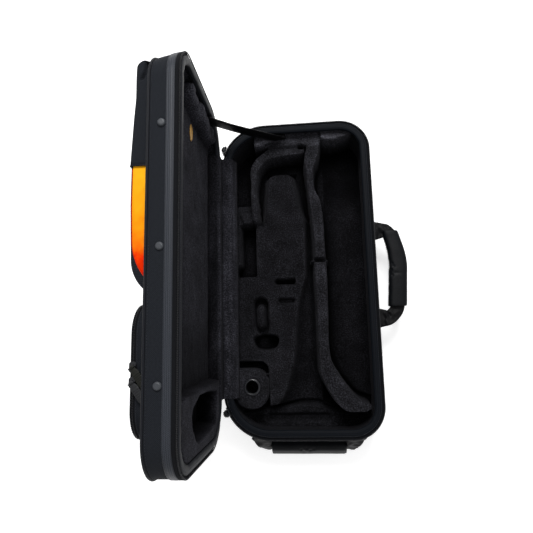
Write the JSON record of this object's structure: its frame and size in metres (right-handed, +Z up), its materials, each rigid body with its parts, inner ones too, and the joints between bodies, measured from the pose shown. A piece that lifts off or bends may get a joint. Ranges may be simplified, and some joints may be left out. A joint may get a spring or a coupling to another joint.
{
  "type": "trumpet case",
  "caption": "Soft zipped trumpet case, lid open: fitted plush insert, mouthpiece holder, stay strap, two carrying handles and outside pockets.",
  "frame": {"origin": "centre of the base's plan, on the plane that its five feet stand on", "axes": "+Z up; +Y along the case towards the end where the trumpet's bow lies; +X towards the side with the carrying handle, away from the lid hinge"},
  "size_m": [0.4, 0.6013, 0.3785],
  "materials": {
    "badge_brass": "satin",
    "binding": "satin binding",
    "cover_cloth": "matte woven nylon",
    "foot_rubber": "matte",
    "grip_vinyl": "textured vinyl",
    "orange_cloth": "bright woven nylon",
    "plush": "short-pile plush",
    "pull_rubber": "matte, ribbed",
    "ring_plastic": "glossy",
    "shell_foam": "moulded foam",
    "slider_metal": "satin black",
    "stud_plastic": "satin",
    "webbing": "woven webbing",
    "zip_coil": "moulded nylon coil",
    "zip_tape": "satin woven tape"
  },
  "bodies": {
    "base": {"base_cover": "cover_cloth", "base_feet": "foot_rubber", "base_hinge_cloth": "cover_cloth", "base_hinge_strip": "plush", "base_liner": "plush", "base_piping": "binding", "base_rim_lip": "binding", "base_shell": "shell_foam", "base_strap_anchor": "plush", "base_zip_coil": "zip_coil", "base_zip_tape": "zip_tape", "insert_floor_pad": "plush", "valve_bed": "plush", "bell_channel_pad": "plush", "bell_divider": "plush", "bow_surround": "plush", "bow_floor_pad": "plush", "bow_end_block": "plush", "accessory_floor_pad": "plush", "mouthpiece_block": "plush", "mouthpiece_ring": "ring_plastic", "side_handle_anchors": "grip_vinyl", "end_handle_anchors": "grip_vinyl", "stay_strap": "webbing"},
    "lid": {"lid_badge": "badge_brass", "lid_bell_pad": "plush", "lid_bow_bolster": "plush", "lid_cover": "cover_cloth", "lid_hinge_cloth": "cover_cloth", "lid_hinge_strip": "plush", "lid_liner": "plush", "lid_panel_pad": "plush", "lid_piping": "binding", "lid_rim_lip": "binding", "lid_shell": "shell_foam", "lid_strap_anchor": "plush", "lid_studs": "stud_plastic", "lid_zip_coil": "zip_coil", "lid_zip_tape": "zip_tape", "music_pocket_face": "cover_cloth", "music_pocket_outer_gusset": "orange_cloth", "music_pocket_hinge_gusset": "orange_cloth", "accessory_pocket_gusset": "cover_cloth", "accessory_pocket_panel": "cover_cloth", "accessory_pocket_zip": "zip_coil", "accessory_pocket_piping": "binding"},
    "music_hood": {"music_pocket_hood": "cover_cloth"},
    "side_handle": {"side_handle_webbing": "webbing", "side_handle_grip": "grip_vinyl"},
    "end_handle": {"end_handle_webbing": "webbing", "end_handle_grip": "grip_vinyl"},
    "pocket_pull_bell_side": {"pocket_pull_bell_side": "pull_rubber"},
    "pocket_pull_bow_side": {"pocket_pull_bow_side": "pull_rubber"},
    "pocket_slider_bell_side": {"pocket_slider_bell_side": "slider_metal"},
    "pocket_slider_bow_side": {"pocket_slider_bow_side": "slider_metal"},
    "zip_pull_bell_end": {"zip_pull_bell_end": "pull_rubber"},
    "zip_pull_bow_end": {"zip_pull_bow_end": "pull_rubber"},
    "zip_slider_bell_end": {"zip_slider_bell_end": "slider_metal"},
    "zip_slider_bow_end": {"zip_slider_bow_end": "slider_metal"}
  },
  "joints": [
    {"name": "lid_hinge", "type": "hinge", "parent": "base", "child": "lid", "pos_m": [-0.135, 0, 0.105], "axis": [0, 1, 0], "range_deg": [0, 90], "deforming": ["stay_strap"]},
    {"name": "music_hood_hinge", "type": "hinge", "parent": "lid", "child": "music_hood", "pos_m": [-0.1774, 0.258, 0.245], "axis": [0, 0, -1], "range_deg": [0, 70]},
    {"name": "side_handle_hinge", "type": "hinge", "parent": "base", "child": "side_handle", "pos_m": [0.1391, 0, 0.06], "axis": [0, -1, 0], "range_deg": [-60, 60]},
    {"name": "end_handle_hinge", "type": "hinge", "parent": "base", "child": "end_handle", "pos_m": [0.007, -0.2841, 0.06], "axis": [-1, 0, 0], "range_deg": [-8, 118]},
    {"name": "zip_slider_bow_end_travel", "type": "hinge", "parent": "base", "child": "zip_slider_bow_end", "pos_m": [-0.055, 0.2, 0.105], "axis": [0, 0, -1], "range_deg": [0, 38]},
    {"name": "zip_pull_bow_end_hinge", "type": "hinge", "parent": "zip_slider_bow_end", "child": "zip_pull_bow_end", "pos_m": [-0.13221, 0.23766, 0.105], "axis": [0.4384, 0.8988, 0], "range_deg": [0, 80]},
    {"name": "zip_slider_bell_end_travel", "type": "hinge", "parent": "base", "child": "zip_slider_bell_end", "pos_m": [-0.055, -0.2, 0.105], "axis": [0, 0, 1], "range_deg": [0, 38]},
    {"name": "zip_pull_bell_end_hinge", "type": "hinge", "parent": "zip_slider_bell_end", "child": "zip_pull_bell_end", "pos_m": [-0.13221, -0.23766, 0.105], "axis": [-0.4384, 0.8988, 0], "range_deg": [0, 80]},
    {"name": "pocket_slider_bow_side_travel", "type": "slide", "parent": "lid", "child": "pocket_slider_bow_side", "axis": [0, 1, 0], "range_m": [0, 0.033]},
    {"name": "pocket_pull_bow_side_hinge", "type": "hinge", "parent": "pocket_slider_bow_side", "child": "pocket_pull_bow_side", "pos_m": [-0.1965, -0.145, 0.3608], "axis": [-0.829, -0.5592, 0], "range_deg": [0, 150]},
    {"name": "pocket_slider_bell_side_travel", "type": "slide", "parent": "lid", "child": "pocket_slider_bell_side", "axis": [0, -1, 0], "range_m": [0, 0.018]},
    {"name": "pocket_pull_bell_side_hinge", "type": "hinge", "parent": "pocket_slider_bell_side", "child": "pocket_pull_bell_side", "pos_m": [-0.1965, -0.163, 0.3608], "axis": [-0.829, -0.5592, 0], "range_deg": [0, 150]}
  ]
}
